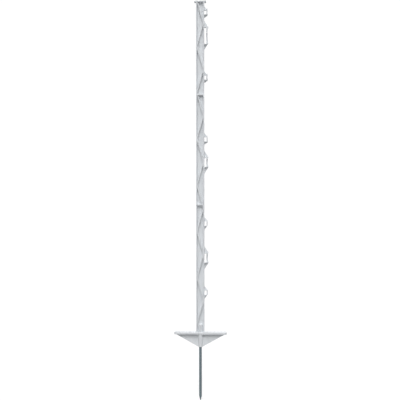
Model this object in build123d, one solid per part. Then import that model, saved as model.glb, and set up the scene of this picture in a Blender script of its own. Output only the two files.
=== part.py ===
from build123d import *
from dataclasses import dataclass
import math
import os

# Step-in fence post: a one-piece white moulding on a steel ground spike.
# All sizes are millimetres. +Z is up along the spike's axis, and the origin lies on that axis
# where the steel leaves the mouth of its socket. The cord holders stand out towards +X.

# Overall heights
post_height = 1349.0            # top of the cap above the socket's mouth
spike_exposed = 209.5           # steel below the socket's mouth, point included

# Stem: pockets in its front and back leave a web, two flanges and the ribs
stem_width = 32.2               # across the outer faces of the two flanges
stem_depth = 20.0               # front edge to back edge of a flange
flange_edge = 4.1               # flange thickness at its front and back edges
flange_edge_radius = 0.7        # along the edges of the flanges
rim_share = 0.9                 # most that this radius may take of the step down to the ribs
web_thickness = 2.6             # between the floors of a front and a back pocket
pocket_draft = 2.0              # degrees, so that the mould lets go
narrowest_pocket = 2.0          # gaps of less mean width between ribs and plates stay solid

# Zigzag ribs between the pockets
rib_pitch = 180.0               # from one corner on the left to the next one below it
rib_top_rise = 3.2              # from the top of the cap up to where the ribs' first corner would be
rib_thickness = 4.2             # at its outer edge
rib_setback = 0.8               # from the edge of the flange back to the edge of the rib
rib_corner_sink = 0.85          # from the flange's face to the corner of the ribs' middle lines, inside it

# Cross plates between the flanges
upper_plate_height = 982.5
lower_plate_height = 553.5
plate_thickness = 5.0
plate_setback = 0.3             # from the edge of the flange back to the edge of the plate

# Cap
cap_width = 46.5
cap_depth = 21.0
cap_thickness = 5.4
cap_corner_radius = 4.0
cap_top_chamfer = 1.0
cap_underside_chamfer = 0.6

# Tread plate
tread_width = 205.0
tread_depth = 24.0
tread_thickness = 8.5
tread_underside = 48.9          # above the socket's mouth
tread_corner_radius = 7.0
tread_edge_chamfer = 0.8
grip_pitch = 13.6               # between the raised bars under the shoe
grip_width = 3.0
grip_rise = 1.5
grip_margin = 3.0               # from a bar to the edge of the plate

# Triangular web under the tread plate
brace_thickness = 3.5
brace_top_half_width = 97.0
brace_foot_half_width = 8.5     # level with the socket's mouth

# Socket for the spike
socket_mouth_diameter = 17.0
socket_tread_diameter = 22.0    # where it meets the underside of the tread plate
socket_mouth_radius = 0.8
boss_diameter = 17.5            # above the tread plate
boss_top = 92.5

# Ground spike
spike_diameter = 11.0
spike_point = 19.0              # length of the cone
spike_tip_diameter = 2.0
spike_root_diameter = 10.0      # turned down inside the socket, with its shoulder at the mouth
spike_embedded = 76.0           # steel inside the socket
spike_end_chamfer = 1.0
groove_count = 3
groove_pitch = 19.0
groove_width = 3.0
groove_depth = 0.8
first_groove = 18.0             # from the socket's mouth to the middle of the first groove

# All the cord holders
holder_depth = 14.0             # front to back
finger_gap = 4.0                # front to back, between a front finger and a back finger
gusset_thickness = 3.5
shelf_thickness = 2.8
shutoff = 0.6                   # between the end of a front finger and the part behind it
tip_round = 1.4                 # outer corners, seen from the front
edge_break = 0.45               # chamfer round the front and back of each part of a holder
chamfer_share = 0.4             # most that this chamfer may take of a short edge
holder_sink = 1.5               # how far a holder runs into the flange

# Tape slots: distances from the flange, and curves, seen from the front
tape_eye_width = 8.3
tape_reach = 16.2
tape_bow_in = 1.2               # how far the finger's inner face bows towards the stem
tape_bow_out = 3.9              # how far its outer face does
tape_eye_round = 2.2

# Rope holders, the same
rope_eye_width = 8.2
rope_reach = 13.0
rope_eye_knee = 8.3             # from the flange to where the upper gusset flattens out
rope_hook_knee = 10.5


@dataclass
class Holder:
    """A kind of holder, seen from the front. Distances run outwards from the flange."""
    eye_height: float
    eye_width: float            # at the ends of the eye
    eye_round: float            # corners of the eye
    reach: float                # outer tips
    bow_in: float
    bow_out: float
    knee: float                 # where the upper gusset meets the level of the upper tip
    tip_above: float            # from the eye's upper end up to the upper tip
    tip_below: float            # from the eye's lower end down to the lower tip
    gusset_rise: float          # from the upper tip to the upper gusset's top on the flange
    gusset_drop: float          # from the lower tip to the lower gusset's foot on the flange
    front_finger: float         # length below the eye's upper end
    shelf_reach: float          # how far the lower shelf goes
    shelf_slope: float          # how much lower the lower shelf is at the flange than outside


long_tape_slot = Holder(
    eye_height=61.8,
    eye_width=tape_eye_width,
    eye_round=tape_eye_round,
    reach=tape_reach,
    bow_in=tape_bow_in,
    bow_out=tape_bow_out,
    knee=tape_reach,
    tip_above=1.5,
    tip_below=-1.3,
    gusset_rise=25.2,
    gusset_drop=26.4,
    front_finger=19.3,
    shelf_reach=tape_reach,
    shelf_slope=3.0,
)

short_tape_slot = Holder(
    eye_height=31.0,
    eye_width=tape_eye_width,
    eye_round=tape_eye_round,
    reach=tape_reach,
    bow_in=tape_bow_in,
    bow_out=tape_bow_out,
    knee=tape_reach,
    tip_above=4.0,
    tip_below=4.2,
    gusset_rise=25.5,
    gusset_drop=26.0,
    front_finger=3.6,
    shelf_reach=tape_reach,
    shelf_slope=4.0,
)

# The front finger of a rope eye covers the whole eye and ends just above the lower shelf.
rope_eye = Holder(
    eye_height=15.4,
    eye_width=rope_eye_width,
    eye_round=2.2,
    reach=rope_reach,
    bow_in=0.0,
    bow_out=0.0,
    knee=rope_eye_knee,
    tip_above=6.0,
    tip_below=5.0,
    gusset_rise=11.5,
    gusset_drop=9.2,
    front_finger=15.4,
    shelf_reach=rope_reach,
    shelf_slope=1.6,
)

# The front finger of a rope hook curls under the eye, as far as a short shelf.
rope_hook = Holder(
    eye_height=16.0,
    eye_width=rope_eye_width,
    eye_round=3.3,
    reach=rope_reach,
    bow_in=0.0,
    bow_out=0.0,
    knee=rope_hook_knee,
    tip_above=4.3,
    tip_below=-0.9,
    gusset_rise=13.0,
    gusset_drop=17.5,
    front_finger=16.0,
    shelf_reach=rope_eye_width,
    shelf_slope=1.2,
)

# Heights of the middles of the eyes above the socket's mouth
holders = [
    (1304.9, rope_eye),
    (1214.6, long_tape_slot),
    (1050.6, rope_eye),
    (809.9, rope_eye),
    (720.5, short_tape_slot),
    (480.9, rope_hook),
    (347.4, short_tape_slot),
    (211.5, rope_hook),
]

# Sizes that follow from the ones above
flange_face = stem_width / 2
flange_inside = flange_face - flange_edge
rib_corner_x = flange_inside + rib_corner_sink
rib_top_corner = post_height + rib_top_rise
rib_level = stem_depth / 2 - rib_setback
tread_top = tread_underside + tread_thickness
tread_middle = tread_underside + tread_thickness / 2
cap_underside = post_height - cap_thickness
cap_middle = post_height - cap_thickness / 2


def box_outline(left, right, bottom, top):
    """A front-view rectangle between two sides and two heights."""
    return Pos((left + right) / 2, (bottom + top) / 2) * Rectangle(right - left, top - bottom)


def slab(outline, front, back):
    """Gives a front-view outline its thickness, from y = front to y = back."""
    return extrude(Plane.XZ.offset(-back) * outline, amount=back - front)


def soft_slab(outline, front, back):
    """The same with the edges round its front and back broken by a chamfer that its short edges allow."""
    piece = slab(outline, front, back)
    rims = piece.faces().filter_by(Axis.Y).edges()
    shortest = min(edge.length for edge in rims)
    return chamfer(rims, min(edge_break, chamfer_share * shortest))


def stem_section():
    """The bar that the pockets are cut from, seen from above, with its flanges standing proud."""
    section = Rectangle(stem_width, stem_depth)
    for side in (-1, 1):
        middle = side * (stem_depth - rib_setback) / 2
        section -= Pos(0, middle) * Rectangle(2 * flange_inside, rib_setback)
    rims = [v for v in section.vertices() if abs(v.Y) > rib_level + rib_setback / 2]
    return fillet(rims, min(flange_edge_radius, rib_setback * rim_share))


def rib_corners():
    """Where the middle lines of two ribs meet, from the top down, left and right by turns."""
    step = rib_pitch / 2
    count = int((rib_top_corner - tread_top) // step) + 1
    sides = [-1 if i % 2 == 0 else 1 for i in range(count)]
    return [Vector(side * rib_corner_x, rib_top_corner - i * step) for i, side in enumerate(sides)]


def rib_outline(start, end):
    """One straight rib, seen from the front, long enough to run into both flanges."""
    run = end - start
    tilt = math.degrees(math.atan2(run.Y, run.X))
    middle = (start + end) * 0.5
    bar = Rectangle(run.length + stem_width, rib_thickness)
    return Pos(middle.X, middle.Y) * Rot(0, 0, tilt) * bar


def mean_width(space):
    """Width of a long narrow face: its area over half the length of its outline."""
    return space.area / (space.outer_wire().length / 2)


def pocket_outlines():
    """What the ribs and plates leave open between the flanges, seen from the front."""
    room = box_outline(-flange_inside, flange_inside, tread_middle, cap_middle)
    corners = rib_corners()
    for start, end in zip(corners, corners[1:]):
        room -= rib_outline(start, end)
    for height in (upper_plate_height, lower_plate_height):
        low = height - plate_thickness / 2
        room -= box_outline(-stem_width, stem_width, low, low + plate_thickness)
    return [space for space in room.faces() if mean_width(space) > narrowest_pocket]


def stem():
    """The pocketed stem, from inside the tread plate up into the cap."""
    bar = extrude(Pos(0, 0, tread_middle) * stem_section(), amount=cap_middle - tread_middle)
    front = Plane.XZ.offset(rib_level)
    depth = rib_level - web_thickness / 2
    cutters = []
    for outline in pocket_outlines():
        cutter = extrude(front * outline, amount=-depth, taper=pocket_draft)
        cutters += [cutter, mirror(cutter, about=Plane.XZ)]
    return bar - cutters


def cross_plate(height):
    """A level plate between the flanges, with its edges standing out past the ribs."""
    half = flange_inside + flange_edge / 2
    reach = stem_depth / 2 - plate_setback
    low = height - plate_thickness / 2
    return slab(box_outline(-half, half, low, low + plate_thickness), -reach, reach)


def cap():
    """The flat head, with its edges chamfered."""
    plan = RectangleRounded(cap_width, cap_depth, cap_corner_radius)
    block = extrude(Pos(0, 0, cap_underside) * plan, amount=cap_thickness)
    block = chamfer(block.faces().sort_by(Axis.Z)[-1].edges(), cap_top_chamfer)
    return chamfer(block.faces().sort_by(Axis.Z)[0].edges(), cap_underside_chamfer)


def tread():
    """The plate for the foot, with raised bars across it on both sides of the stem."""
    plan = RectangleRounded(tread_width, tread_depth, tread_corner_radius)
    plate = extrude(Pos(0, 0, tread_underside) * plan, amount=tread_thickness)
    rims = plate.faces().filter_by(Axis.Z).edges()
    plate = chamfer(rims, tread_edge_chamfer)
    first = math.ceil((flange_face + grip_margin) / grip_pitch)
    last = int((tread_width / 2 - grip_margin - grip_width / 2) // grip_pitch)
    bar_length = tread_depth - 2 * grip_margin
    bar = Rectangle(grip_width, bar_length)
    bars = []
    for i in range(first, last + 1):
        for side in (-1, 1):
            place = Pos(side * i * grip_pitch, 0, tread_middle)
            bars.append(extrude(place * bar, amount=tread_thickness / 2 + grip_rise))
    return plate + bars


def brace():
    """The triangular web that carries the tread plate on the socket."""
    outline = Polyline(
        (-brace_top_half_width, tread_middle),
        (-brace_top_half_width, tread_underside),
        (-brace_foot_half_width, 0),
        (brace_foot_half_width, 0),
        (brace_top_half_width, tread_underside),
        (brace_top_half_width, tread_middle),
        close=True,
    )
    return slab(make_face(outline), -brace_thickness / 2, brace_thickness / 2)


def socket():
    """The tapered socket, and the boss above the plate with its domed top."""
    mouth = socket_mouth_diameter / 2
    boss = boss_diameter / 2
    shoulder = boss_top - boss
    half_chord = boss * math.sqrt(0.5)
    lower = Polyline(
        (0, shoulder + boss),
        (0, 0),
        (mouth, 0),
        (socket_tread_diameter / 2, tread_underside),
        (boss, tread_middle),
        (boss, shoulder),
    )
    dome = ThreePointArc((boss, shoulder), (half_chord, shoulder + half_chord), (0, boss_top))
    profile = make_face(lower + dome)
    rim = [v for v in profile.vertices() if v.X > mouth / 2 and abs(v.Y) < 0.01]
    profile = fillet(rim, socket_mouth_radius)
    return revolve(Plane.XZ * profile, axis=Axis.Z)


def spike():
    """The round steel spike: cone, shank, and the turned end with grooves that the plastic grips."""
    radius = spike_diameter / 2
    root = spike_root_diameter / 2
    waist = root - groove_depth
    tip = -spike_exposed
    points = [(0, tip), (spike_tip_diameter / 2, tip), (radius, tip + spike_point)]
    points += [(radius, 0), (root, 0)]
    for i in range(groove_count):
        middle = first_groove + i * groove_pitch
        points.append((root, middle - groove_width / 2))
        points.append((waist, middle - groove_width / 2 + groove_depth))
        points.append((waist, middle + groove_width / 2 - groove_depth))
        points.append((root, middle + groove_width / 2))
    points.append((root, spike_embedded - spike_end_chamfer))
    points.append((root - spike_end_chamfer, spike_embedded))
    points.append((0, spike_embedded))
    profile = make_face(Polyline(*points, close=True))
    return revolve(Plane.XZ * profile, axis=Axis.Z)


def bowed_side(x, top, bottom, bow):
    """The upright side of an outline, straight or bowed towards the stem."""
    if bow == 0:
        return Line((x, top), (x, bottom))
    return ThreePointArc((x, top), (x - bow, (top + bottom) / 2), (x, bottom))


def shelf_line(kind, distance):
    """Height of the lower shelf's upper face at a distance from the flange."""
    slope = kind.shelf_slope / kind.reach
    return -kind.eye_height / 2 - slope * (kind.reach - distance)


def eye_outline(kind):
    """The hole for the cord, between the flange and the fingers."""
    half = kind.eye_height / 2
    outer = flange_face + kind.eye_width
    low_inside = shelf_line(kind, 0)
    low_outside = shelf_line(kind, kind.eye_width)
    rest = Polyline((outer, low_outside), (flange_face, low_inside), (flange_face, half), (outer, half))
    outline = make_face(bowed_side(outer, half, low_outside, kind.bow_in) + rest)
    return fillet(outline.vertices(), kind.eye_round)


def holder_outline(kind):
    """Everything that a holder covers, seen from the front, eye included."""
    half = kind.eye_height / 2
    inside = flange_face - holder_sink
    outside = flange_face + kind.reach
    upper_tip = half + kind.tip_above
    lower_tip = -half - kind.tip_below
    upper_root = upper_tip + kind.gusset_rise
    lower_root = lower_tip - kind.gusset_drop
    points = [(outside, lower_tip), (flange_face, lower_root), (inside, lower_root)]
    points += [(inside, upper_root), (flange_face, upper_root)]
    if kind.knee < kind.reach:
        points.append((flange_face + kind.knee, upper_tip))
    points.append((outside, upper_tip))
    side = bowed_side(outside, upper_tip, lower_tip, kind.bow_out)
    outline = make_face(side + Polyline(*points))
    tips = [v for v in outline.vertices() if v.X > outside - 0.01]
    return fillet(tips, tip_round)


def lower_zone(kind, depth):
    """The band below the eye that is not part of the front finger, as far down as depth."""
    inside = flange_face - holder_sink
    outside = flange_face + kind.shelf_reach
    level = shelf_line(kind, -holder_sink)
    far_level = shelf_line(kind, kind.shelf_reach)
    band = Polyline(
        (inside, level),
        (outside, far_level),
        (outside, far_level - depth),
        (inside, level - depth),
        close=True,
    )
    ceiling = kind.eye_height / 2 - kind.front_finger - shutoff
    floor = level - depth
    return make_face(band) & box_outline(inside, outside, floor, ceiling)


def fits(height, kind):
    """Whether a holder at that height stays between the tread plate and the cap."""
    half = kind.eye_height / 2
    top = height + half + kind.tip_above + kind.gusset_rise
    foot = height - half - kind.tip_below - kind.gusset_drop
    return foot > tread_top and top < cap_underside


def holder(height, kind):
    """One holder on the right-hand flange: gussets, two shelves and two fingers."""
    half = kind.eye_height / 2
    inside = flange_face - holder_sink
    outside = flange_face + kind.reach
    finger_root = flange_face + kind.eye_width - kind.bow_in
    shelf_end = flange_face + kind.shelf_reach
    finger_top = half + max(shelf_thickness, kind.tip_above)
    finger_foot = -half - max(shelf_thickness, kind.tip_below)
    split_level = half - kind.front_finger
    far_below = half + kind.tip_below + kind.gusset_drop
    far_above = half + kind.tip_above + kind.gusset_rise
    ring = holder_outline(kind) - eye_outline(kind)

    upper_gusset = ring & box_outline(inside, outside, half, far_above)
    lower_gusset = ring & lower_zone(kind, far_below)
    upper_shelf = ring & box_outline(inside, outside, half, half + shelf_thickness)
    lower_shelf = ring & lower_zone(kind, shelf_thickness)
    front_finger = ring & box_outline(finger_root, outside, split_level, finger_top)
    curl_start = shelf_end + shutoff
    if curl_start < outside:
        front_finger += ring & box_outline(curl_start, outside, -far_below, split_level)
    back_finger = None
    if shelf_end > finger_root:
        zone = box_outline(finger_root, shelf_end, finger_foot, split_level - shutoff)
        back_finger = ring & zone

    front = -holder_depth / 2
    back = holder_depth / 2
    gusset = gusset_thickness / 2
    gap = finger_gap / 2
    pieces = [
        soft_slab(upper_gusset, -gusset, gusset),
        soft_slab(lower_gusset, -gusset, gusset),
        soft_slab(upper_shelf, front, back),
        soft_slab(lower_shelf, front, back),
        soft_slab(front_finger, front, -gap),
    ]
    if back_finger is not None:
        pieces.append(soft_slab(back_finger, gap, back))
    return [Pos(0, 0, height) * piece for piece in pieces]


def post():
    """The whole moulding, with the bore that the spike leaves in it."""
    body = stem() + [cross_plate(upper_plate_height), cross_plate(lower_plate_height)]
    for height, kind in holders:
        if fits(height, kind):
            body += holder(height, kind)
    body += [cap(), tread(), brace(), socket()]
    return body - spike()


os.makedirs("parts", exist_ok=True)
export_step(post(), "parts/post.step")
export_step(spike(), "parts/ground_spike.step")
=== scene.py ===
# %% [markdown]
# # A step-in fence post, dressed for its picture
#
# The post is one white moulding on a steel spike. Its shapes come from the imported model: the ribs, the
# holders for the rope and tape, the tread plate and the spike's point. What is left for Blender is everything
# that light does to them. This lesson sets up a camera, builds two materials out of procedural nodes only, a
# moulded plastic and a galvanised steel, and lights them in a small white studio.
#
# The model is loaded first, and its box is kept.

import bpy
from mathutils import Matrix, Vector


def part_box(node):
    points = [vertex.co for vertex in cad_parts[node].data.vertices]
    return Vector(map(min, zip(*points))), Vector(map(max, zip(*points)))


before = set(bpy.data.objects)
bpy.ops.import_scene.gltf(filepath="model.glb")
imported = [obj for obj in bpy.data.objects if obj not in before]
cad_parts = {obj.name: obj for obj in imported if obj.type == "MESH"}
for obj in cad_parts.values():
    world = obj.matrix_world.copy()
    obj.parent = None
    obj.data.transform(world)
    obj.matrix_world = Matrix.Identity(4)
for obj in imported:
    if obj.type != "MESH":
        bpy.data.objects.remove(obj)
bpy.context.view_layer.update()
print("pieces in the model:", sorted(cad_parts))

# %% [markdown]
# ## Units and measures
#
# Blender works in metres here. The details of a moulding are easier to read in millimetres, so a size is
# written as a number times MM. The corners of the two pieces say how large they are and where the ground is.

# %% Modules and measures
import math

import bmesh
import bpy
from mathutils import Vector

MM = 0.001
scene = bpy.context.scene
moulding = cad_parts["post"]
steel_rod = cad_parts["ground_spike"]
post_low, post_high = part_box("post")
spike_low, spike_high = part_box("ground_spike")
ground_level = spike_low.z       # the tip of the spike stands on the floor of the studio
print("moulding, mm:", [round(v / MM, 1) for v in post_high - post_low])
print("steel rod, mm:", [round(v / MM, 1) for v in spike_high - spike_low])

# %% [markdown]
# ## The camera
#
# In the picture the post fills the square from top to bottom, and it was taken from almost straight in front.
# Two things tell how far away and how high the camera stood. The underside of the cap shows, so the cap is
# well above the lens, and the top of the tread plate shows, so the plate is well below it. Both show by about
# as much as a lens at 0.57 m, 2.6 m in front of the post, would see. The fingers of the holders lie a little
# further right than from dead ahead, so the camera stood three degrees to the right. It looks level, and is
# rolled about its line of sight by a twentieth of a degree, because the post in the picture leans that much.

# %% Camera
camera_height = 0.5725
camera_distance = 2.6045
camera_bearing = math.radians(3)
camera_roll = math.radians(0.05)
camera_side = -0.00128           # the post is a third of a pixel to the right of the middle
lens_mm = 60.0
sensor_mm = 36.0

lens = bpy.data.cameras.new("camera")
lens.lens = lens_mm
lens.sensor_width = sensor_mm
camera = bpy.data.objects.new("camera", lens)
towards_camera = Vector((math.sin(camera_bearing), -math.cos(camera_bearing), 0))
camera_right = Vector((math.cos(camera_bearing), math.sin(camera_bearing), 0))
camera_spot = towards_camera * camera_distance + camera_right * camera_side
camera.location = camera_spot + Vector((0, 0, camera_height))
camera.rotation_euler = (math.radians(90), camera_roll, camera_bearing)
scene.collection.objects.link(camera)
scene.camera = camera

half_view = camera_distance * sensor_mm / 2 / lens_mm
lowest_seen = camera_height - half_view
highest_seen = camera_height + half_view
print("the view reaches from z =", round(lowest_seen, 3), "to", round(highest_seen, 3))

# %% [markdown]
# ## Tools for building nodes
#
# A material is a small machine of nodes joined by wires. Adding each node and wire by hand makes long code,
# so a few short helpers do it. The first three add a node and set its values, join two sockets, and do sums.

# %% Node helpers
def add(tree, kind, settings=None, **inputs):
    """Adds a node. Settings are its own options, and inputs are values or sockets for its sockets."""
    node = tree.nodes.new(kind)
    for name, value in (settings or {}).items():
        setattr(node, name, value)
    for name, value in inputs.items():
        wire(tree, value, node.inputs[name.replace("_", " ")])
    return node


def wire(tree, value, socket):
    """Joins a socket to another, or gives it a plain value."""
    if isinstance(value, bpy.types.NodeSocket):
        tree.links.new(value, socket)
    else:
        socket.default_value = value


def maths(tree, operation, *values, clamp=False):
    """A Math node with its inputs in order. Gives the socket that holds the result."""
    node = tree.nodes.new("ShaderNodeMath")
    node.operation = operation
    node.use_clamp = clamp
    for socket, value in zip(node.inputs, values):
        wire(tree, value, socket)
    return node.outputs[0]


print("node helpers ready")

# %% [markdown]
# ## Tools for groups and materials
#
# A group is the way to share an effect, because each material that uses it only sets the group's named
# inputs. One helper opens a group with its sockets, and one puts a group to use. The last two are for whole
# materials: one starts an empty one, and one sends the finished shader to the surface.

# %% Group and material helpers
def new_group(name, inputs, outputs):
    """Opens a shader node group. Inputs are (name, kind, default), and outputs are (name, kind)."""
    group = bpy.data.node_groups.new(name, "ShaderNodeTree")
    for label, kind, default in inputs:
        socket = group.interface.new_socket(label, in_out="INPUT", socket_type="NodeSocket" + kind)
        socket.default_value = default
    for label, kind in outputs:
        group.interface.new_socket(label, in_out="OUTPUT", socket_type="NodeSocket" + kind)
    return group, group.nodes.new("NodeGroupInput"), group.nodes.new("NodeGroupOutput")


def place(tree, group, **inputs):
    """Adds a group to a material with its own values."""
    node = tree.nodes.new("ShaderNodeGroup")
    node.node_tree = group
    for name, value in inputs.items():
        wire(tree, value, node.inputs[name.replace("_", " ")])
    return node


def new_material(name):
    """Starts a material with no nodes in it. Gives the material and its tree."""
    material = bpy.data.materials.new(name)
    material.use_nodes = True
    tree = material.node_tree
    tree.nodes.clear()
    return material, tree


def cover_surface(tree, shader):
    """Sends a shader to the output of its material."""
    out = add(tree, "ShaderNodeOutputMaterial")
    wire(tree, shader.outputs[0], out.inputs["Surface"])


print("group and material helpers ready")

# %% [markdown]
# ## Shared effect: fine grain
#
# No real surface is optically flat. A mould is spark-eroded or blasted, and a galvanised bar has a cast skin,
# so both are covered in tiny bumps. A Noise texture makes such bumps. The noise may be stretched along the
# length of the object, because both materials flowed or were drawn that way. The group gives two heights, a
# fine one and a broad one with waves 25 times as long. Each material decides how strongly to use them.

# %% Fine grain group
broad_to_fine = 0.04             # the broad noise has this share of the fine noise's waves per metre

grain_group, source, result = new_group(
    "fine grain",
    [("Size mm", "Float", 0.5), ("Stretch", "Float", 1.0), ("Detail", "Float", 3.0)],
    [("Height", "Float"), ("Broad", "Float")],
)
where = add(grain_group, "ShaderNodeTexCoord")
shortening = maths(grain_group, "DIVIDE", 1.0, source.outputs["Stretch"])
squeeze = add(grain_group, "ShaderNodeCombineXYZ", X=1.0, Y=1.0, Z=shortening)
stretched = add(grain_group, "ShaderNodeVectorMath", {"operation": "MULTIPLY"})
wire(grain_group, where.outputs["Object"], stretched.inputs[0])
wire(grain_group, squeeze.outputs[0], stretched.inputs[1])
fineness = maths(grain_group, "DIVIDE", 1 / MM, source.outputs["Size mm"])
fine = add(grain_group, "ShaderNodeTexNoise", Vector=stretched.outputs[0], Scale=fineness,
           Detail=source.outputs["Detail"], Roughness=0.55)
coarseness = maths(grain_group, "MULTIPLY", fineness, broad_to_fine)
broad = add(grain_group, "ShaderNodeTexNoise", Vector=stretched.outputs[0], Scale=coarseness,
            Detail=2.0, Roughness=0.5)
wire(grain_group, fine.outputs[0], result.inputs["Height"])
wire(grain_group, broad.outputs[0], result.inputs["Broad"])
print("group:", grain_group.name)

# %% [markdown]
# ## Shared effect: soft edges
#
# A sharp edge in a model gives itself away, because real edges are always a little round and catch a line of
# light. The Bevel node works out what the surface's direction would be if its edges were rounded by a small
# radius. Where that differs from the true direction, there is an edge. So one node gives two useful things:
# a softened normal, and a mask of the edges, on which a material can paint that line of light as a highlight.

# %% Soft edges group
edge_group, source, result = new_group(
    "soft edges",
    [("Radius", "Float", 0.4 * MM), ("Spread", "Float", 4.0)],
    [("Normal", "Vector"), ("Edge", "Float")],
)
rounded = add(edge_group, "ShaderNodeBevel", {"samples": 6}, Radius=source.outputs["Radius"])
straight = add(edge_group, "ShaderNodeNewGeometry")
likeness = add(edge_group, "ShaderNodeVectorMath", {"operation": "DOT_PRODUCT"})
wire(edge_group, rounded.outputs[0], likeness.inputs[0])
wire(edge_group, straight.outputs["Normal"], likeness.inputs[1])
difference = maths(edge_group, "SUBTRACT", 1.0, likeness.outputs["Value"], clamp=True)
edge_mask = maths(edge_group, "MULTIPLY", difference, source.outputs["Spread"], clamp=True)
wire(edge_group, rounded.outputs[0], result.inputs["Normal"])
wire(edge_group, edge_mask, result.inputs["Edge"])
print("group:", edge_group.name)

# %% [markdown]
# ## Shared effect: handling
#
# The post in the picture is new, so it has no dirt. It has been packed and carried all the same, and that
# leaves faint smudges that dull the shine in patches. Two noises of different size, multiplied, give patches
# that are themselves uneven, which looks less like a computer's noise than one noise does. A noise is about
# a half on average, so the product is about a quarter. That is taken off, and smudges go both ways.

# %% Handling group
fleck_to_patch = 9.0             # flecks to one patch, along a line
usual_product = 0.25

handling_group, source, result = new_group(
    "handling",
    [("Patch mm", "Float", 60.0), ("Contrast", "Float", 1.0)],
    [("Smudge", "Float")],
)
where = add(handling_group, "ShaderNodeTexCoord")
patch_scale = maths(handling_group, "DIVIDE", 1 / MM, source.outputs["Patch mm"])
patches = add(handling_group, "ShaderNodeTexNoise", Vector=where.outputs["Object"], Scale=patch_scale,
              Detail=3.0, Roughness=0.6, Distortion=0.6)
fleck_scale = maths(handling_group, "MULTIPLY", patch_scale, fleck_to_patch)
flecks = add(handling_group, "ShaderNodeTexNoise", Vector=where.outputs["Object"], Scale=fleck_scale,
             Detail=4.0, Roughness=0.65)
uneven = maths(handling_group, "MULTIPLY", patches.outputs[0], flecks.outputs[0])
centred = maths(handling_group, "SUBTRACT", uneven, usual_product)
smudged = maths(handling_group, "MULTIPLY", centred, source.outputs["Contrast"])
wire(handling_group, smudged, result.inputs["Smudge"])
print("group:", handling_group.name)

# %% [markdown]
# ## The moulded plastic
#
# The moulding is white polypropylene: a little cool, with a satin skin. Five things keep it from looking like
# plain paint. The plastic flowed up a mould more than a metre long, so its whiteness drifts in long streaks.
# The mould's skin gives a fine grain. Thick places sank a little as they cooled, so broad faces are not quite
# flat. The edges are soft, and a painted highlight makes them slightly lighter, where they would catch the
# light.
# The last is the parting line, where the two halves of the mould met: a hair of plastic that stands up all
# round the post, half way between its front and its back.
#
# Each of the three bumps could be painted as a texture, but that would need a map of the whole surface. The
# Object coordinates already say where every point of the post is, so each bump is worked out from them.

# %% Plastic values
plastic_white = (0.800, 0.825, 0.848, 1.0)
plastic_shade = (0.745, 0.772, 0.798, 1.0)
# The edge colour is a painted highlight: edges are lightened towards it to stand for the line of light a
# round edge catches.
plastic_edge_highlight = (0.870, 0.885, 0.900, 1.0)
streak_shade_at = 0.32           # where the streak noise is this low, the plastic has its shade
streak_white_at = 0.62           # where it is this high, the plastic is at its whitest
edge_highlight_share = 0.6               # how far a full edge goes towards the edge's colour
plastic_roughness = 0.38
plastic_dulling = 0.8            # how strongly a smudge changes the roughness
parting_half_width = 0.35 * MM
print("plastic from", plastic_shade[:3], "to", plastic_white[:3])

# %% [markdown]
# ## The parting line
#
# The two halves of the mould are taken to have met on the plane half way between the front and the back of
# the post, where Y is zero. The height of the line is a smooth ridge about that plane. It needs no mask:
# every face of the moulding that looks to the front or the back lies further from the plane than the ridge
# reaches, so only its sides, tops and undersides get the line.

# %% Parting line
def parting_line(tree, half_width):
    """Height of the line where the mould closed: 1 on the middle plane, and 0 off it."""
    where = add(tree, "ShaderNodeTexCoord")
    spot = add(tree, "ShaderNodeSeparateXYZ", Vector=where.outputs["Object"])
    off_plane = maths(tree, "ABSOLUTE", spot.outputs["Y"])
    ridge = add(tree, "ShaderNodeMapRange", {"interpolation_type": "SMOOTHSTEP"}, Value=off_plane,
                From_Min=0.0, From_Max=half_width, To_Min=1.0, To_Max=0.0)
    return ridge.outputs[0]


print("parting line, mm wide:", round(2 * parting_half_width / MM, 2))

# %% White plastic
def make_plastic():
    """The white of the moulding, with its streaks, grain, sink, painted highlight on the edges, parting line
    and smudges.
    """
    material, tree = new_material("white_moulded_plastic")
    streaks = place(tree, grain_group, Size_mm=14.0, Stretch=9.0, Detail=4.0)
    skin = place(tree, grain_group, Size_mm=0.55, Stretch=1.0, Detail=2.0)
    edges = place(tree, edge_group, Radius=0.45 * MM, Spread=3.0)
    smudge = place(tree, handling_group, Patch_mm=70.0, Contrast=1.0)

    drift = add(tree, "ShaderNodeValToRGB", Fac=streaks.outputs["Height"])
    drift.color_ramp.elements[0].position = streak_shade_at
    drift.color_ramp.elements[0].color = plastic_shade
    drift.color_ramp.elements[1].position = streak_white_at
    drift.color_ramp.elements[1].color = plastic_white
    # Painted highlight: the edges are lightened towards the edge colour, for the line of light a round edge
    # catches.
    highlighted = add(tree, "ShaderNodeMix", {"data_type": "RGBA"})
    wire(tree, maths(tree, "MULTIPLY", edges.outputs["Edge"], edge_highlight_share), highlighted.inputs["Factor"])
    wire(tree, drift.outputs["Color"], highlighted.inputs["A"])
    wire(tree, plastic_edge_highlight, highlighted.inputs["B"])

    sunk = add(tree, "ShaderNodeBump", Strength=0.10, Distance=1.5 * MM, Height=streaks.outputs["Broad"],
               Normal=edges.outputs["Normal"])
    grained = add(tree, "ShaderNodeBump", Strength=0.16, Distance=0.08 * MM, Height=skin.outputs["Height"],
                  Normal=sunk.outputs[0])
    lined = add(tree, "ShaderNodeBump", Strength=0.5, Distance=0.12 * MM,
                Height=parting_line(tree, parting_half_width), Normal=grained.outputs[0])
    dulled = maths(tree, "MULTIPLY_ADD", smudge.outputs["Smudge"], plastic_dulling, plastic_roughness)

    shader = add(tree, "ShaderNodeBsdfPrincipled")
    wire(tree, highlighted.outputs["Result"], shader.inputs["Base Color"])
    wire(tree, dulled, shader.inputs["Roughness"])
    wire(tree, lined.outputs[0], shader.inputs["Normal"])
    shader.inputs["IOR"].default_value = 1.49
    cover_surface(tree, shader)
    return material


moulding.material_slots[0].material = make_plastic()
print("plastic on", moulding.name)

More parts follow.
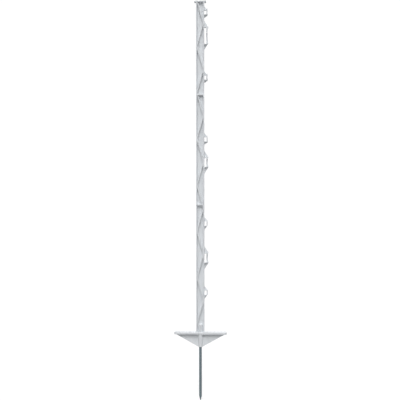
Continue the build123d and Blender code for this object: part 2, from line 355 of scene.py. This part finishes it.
# %% [markdown]
# ## The galvanised steel
#
# The spike is drawn round bar, dipped in zinc. Drawing leaves hair lines along the bar. Zinc freezes in
# crystals, the spangle, which a Voronoi texture draws: each cell gets a grey of its own. Zinc left in store
# goes dull, so the metal is rough, and it is duller in patches. The plain shine of a metal comes from the
# shader's Metallic value, and the two bumps only break it up.

# %% Steel values
zinc_light = (0.176, 0.217, 0.236, 1.0)
zinc_dark = (0.108, 0.140, 0.156, 1.0)
spangle_size = 3.2 * MM
spangle_share = 0.45             # how much of the zinc's tone comes from its crystals
cloud_share = 0.55               # how much comes from broad clouds in its skin
zinc_roughness = 0.42
zinc_dulling = 0.9               # how strongly a smudge changes the roughness
print("zinc from", zinc_dark[:3], "to", zinc_light[:3])

# %% Galvanised steel
def make_steel():
    """The zinc on the spike, with its spangle, clouds, hair lines, cast skin and dull patches."""
    material, tree = new_material("galvanised_steel_bar")
    hair_lines = place(tree, grain_group, Size_mm=0.35, Stretch=40.0, Detail=2.0)
    skin = place(tree, grain_group, Size_mm=1.4, Stretch=1.5, Detail=3.0)
    edges = place(tree, edge_group, Radius=0.3 * MM, Spread=3.0)
    smudge = place(tree, handling_group, Patch_mm=25.0, Contrast=1.0)

    where = add(tree, "ShaderNodeTexCoord")
    spangle = add(tree, "ShaderNodeTexVoronoi", Vector=where.outputs["Object"], Scale=1 / spangle_size)
    grey = add(tree, "ShaderNodeSeparateColor", Color=spangle.outputs["Color"])
    clouds = maths(tree, "MULTIPLY", skin.outputs["Broad"], cloud_share)
    tone = maths(tree, "MULTIPLY_ADD", grey.outputs[0], spangle_share, clouds)
    zinc = add(tree, "ShaderNodeMix", {"data_type": "RGBA"})
    wire(tree, tone, zinc.inputs["Factor"])
    wire(tree, zinc_dark, zinc.inputs["A"])
    wire(tree, zinc_light, zinc.inputs["B"])

    drawn = add(tree, "ShaderNodeBump", Strength=0.25, Distance=0.05 * MM,
                Height=hair_lines.outputs["Height"], Normal=edges.outputs["Normal"])
    cast = add(tree, "ShaderNodeBump", Strength=0.2, Distance=0.15 * MM, Height=skin.outputs["Height"],
               Normal=drawn.outputs[0])
    dulled = maths(tree, "MULTIPLY_ADD", smudge.outputs["Smudge"], zinc_dulling, zinc_roughness)

    shader = add(tree, "ShaderNodeBsdfPrincipled")
    wire(tree, zinc.outputs["Result"], shader.inputs["Base Color"])
    wire(tree, dulled, shader.inputs["Roughness"])
    wire(tree, cast.outputs[0], shader.inputs["Normal"])
    shader.inputs["Metallic"].default_value = 1.0
    cover_surface(tree, shader)
    return material


steel_rod.material_slots[0].material = make_steel()
print("steel on", steel_rod.name)

# %% [markdown]
# ## The studio
#
# The background is white everywhere, and the post is not. Making it white with more light would bleach the
# post too. Light Path is the way round that: it says what kind of ray has arrived. A ray that comes straight
# from the camera, off a glossy surface or through glass sees an extra white glow, and the rays that carry
# light to the post don't. The floor and the backdrop are plain matt surfaces with such a glow on top. On the
# floor the two add up to 1.06, where 1 is white. The lamps are wide and the post is thin, so its shadow takes
# off only about 0.05 beside the spike, and the floor comes out white there too. The picture shows no shadow
# either. A weaker glow would let it show.

# %% Studio surfaces
def seen_directly(tree):
    """1 for a ray from the camera, off a glossy surface or through glass, and 0 for the other rays."""
    ray = add(tree, "ShaderNodeLightPath")
    seen = maths(tree, "MAXIMUM", ray.outputs["Is Camera Ray"], ray.outputs["Is Glossy Ray"])
    return maths(tree, "MAXIMUM", seen, ray.outputs["Is Transmission Ray"])


def make_studio_material(name, matt_grey, glow_strength):
    """A plain matt surface that also glows white where it is seen directly."""
    material, tree = new_material(name)
    glowing = maths(tree, "MULTIPLY", seen_directly(tree), glow_strength)
    matt = add(tree, "ShaderNodeBsdfDiffuse", Color=(matt_grey, matt_grey, matt_grey, 1.0))
    glow = add(tree, "ShaderNodeEmission", Color=(1.0, 1.0, 1.0, 1.0), Strength=glowing)
    both = add(tree, "ShaderNodeAddShader")
    wire(tree, matt.outputs[0], both.inputs[0])
    wire(tree, glow.outputs[0], both.inputs[1])
    cover_surface(tree, both)
    return material


def put_in_studio(name, shape, material):
    """Turns a bmesh into an object of the studio, with its material. Gives the object."""
    mesh = bpy.data.meshes.new(name)
    shape.to_mesh(mesh)
    shape.free()
    thing = bpy.data.objects.new(name, mesh)
    thing.data.materials.append(material)
    scene.collection.objects.link(thing)
    return thing


print("studio surfaces ready")

# %% Floor
studio_radius = 8.0

shape = bmesh.new()
bmesh.ops.create_grid(shape, x_segments=1, y_segments=1, size=studio_radius)
bmesh.ops.translate(shape, verts=shape.verts[:], vec=(0, 0, ground_level))
floor_surface = make_studio_material("studio_floor", matt_grey=0.34, glow_strength=0.70)
floor = put_in_studio("studio_floor", shape, floor_surface)
print(floor.name, "at z =", round(ground_level, 4))

# %% [markdown]
# ## The backdrop
#
# A white world behind the post would do, were it not for the grain. A render is grainy until Blender cleans
# it, and against a white world, which has no grain at all, the upper half of the post was left grainy after
# the cleaning. It came out cleaner against a wall that the same lamps light. The wall is a ring, so that it
# stands behind the post in every view. It is made of a circle whose edges are pulled up. Only the camera sees
# it: it throws no shadow, shows in no reflection and blocks no light from the sky.

# %% Backdrop
wall_height = 8.0
wall_sides = 64

shape = bmesh.new()
bmesh.ops.create_circle(shape, cap_ends=False, radius=studio_radius, segments=wall_sides)
raised = bmesh.ops.extrude_edge_only(shape, edges=shape.edges[:])
top_corners = [part for part in raised["geom"] if isinstance(part, bmesh.types.BMVert)]
bmesh.ops.translate(shape, verts=top_corners, vec=(0, 0, wall_height))
bmesh.ops.translate(shape, verts=shape.verts[:], vec=(0, 0, ground_level))
wall_surface = make_studio_material("studio_wall", matt_grey=0.36, glow_strength=0.78)
wall = put_in_studio("studio_wall", shape, wall_surface)
wall.visible_diffuse = False
wall.visible_glossy = False
wall.visible_transmission = False
wall.visible_shadow = False
print("wall of", len(wall.data.polygons), "panels,", wall_height, "m high")

# %% [markdown]
# ## The sky
#
# The world does two jobs. A ray that sees it directly finds plain white, so the steel has something white to
# reflect. The light that it sends to the post is that of a dim sky, which softens the shadows. This sky is
# dimmer overhead than at the horizon, because the top of the tread plate takes so much of the main light
# already that an even sky would make it too pale.

# %% Sky
sky_horizon = 0.36
sky_zenith = 0.16

world = bpy.data.worlds.new("studio")
scene.world = world
world.use_nodes = True
tree = world.node_tree
tree.nodes.clear()
direction = add(tree, "ShaderNodeTexCoord")
height = add(tree, "ShaderNodeSeparateXYZ", Vector=direction.outputs["Generated"])
sky = add(tree, "ShaderNodeMapRange", Value=height.outputs["Z"], From_Min=0.0, From_Max=1.0,
          To_Min=sky_horizon, To_Max=sky_zenith)
strength = add(tree, "ShaderNodeMix", {"data_type": "FLOAT"})
wire(tree, seen_directly(tree), strength.inputs["Factor"])
wire(tree, sky.outputs[0], strength.inputs["A"])
wire(tree, 1.0, strength.inputs["B"])
background = add(tree, "ShaderNodeBackground", Color=(1.0, 1.0, 1.0, 1.0), Strength=strength.outputs[0])
out = add(tree, "ShaderNodeOutputWorld")
wire(tree, background.outputs[0], out.inputs["Surface"])
print("sky from", sky_horizon, "at the horizon to", sky_zenith, "overhead")

# %% [markdown]
# ## The lamps
#
# The shadows in the picture say where the light was. Below each cross plate there is a dark band that fades
# out over about twice the depth of the pocket, and the web is as bright at the foot as at the head. So the
# main light was wide, it stood in front and above, and it was far away. A Sun lamp suits that. It lights
# every height equally, and its angle is how wide the light looks from the object: the wider, the softer its
# shadows. The pockets are darker beside the left flange, so the light stood a little to the left.
#
# One lamp in front would leave the back of the post grey. Two weaker ones stand low behind it, left and
# right, each half way between the side and the back, so that they light both. They are low, so that a level
# face, such as the top of the tread plate, gets only a quarter of what a face turned to them gets.

# %% Lamps
def make_sun(name, bearing, elevation, spread, strength):
    """Adds a Sun lamp. A bearing of zero stands in front, and grows to the right; angles are in degrees."""
    turn = math.radians(bearing)
    rise = math.radians(elevation)
    stand = Vector((math.sin(turn) * math.cos(rise), -math.cos(turn) * math.cos(rise), math.sin(rise)))
    lamp = bpy.data.lights.new(name, "SUN")
    lamp.angle = math.radians(spread)
    lamp.energy = strength
    lamp_object = bpy.data.objects.new(name, lamp)
    lamp_object.location = stand * camera_distance
    lamp_object.rotation_euler = (-stand).to_track_quat("-Z", "Y").to_euler()
    scene.collection.objects.link(lamp_object)
    print(name, "of strength", strength, "stands towards", [round(v, 2) for v in stand])


make_sun("key_light", bearing=-2, elevation=55, spread=42, strength=2.45)
fill_bearing = 135
for side, bearing in (("left", -fill_bearing), ("right", fill_bearing)):
    make_sun("fill_light_" + side, bearing=bearing, elevation=14, spread=50, strength=1.10)

# %% [markdown]
# ## Picture settings
#
# A view transform turns the light that was worked out into the colours of the picture. Standard adds no
# contrast or tint of its own, so the picture shows the materials as the lamps light them.

# %% Picture settings
scene.view_settings.view_transform = "Standard"
print("view transform:", scene.view_settings.view_transform)
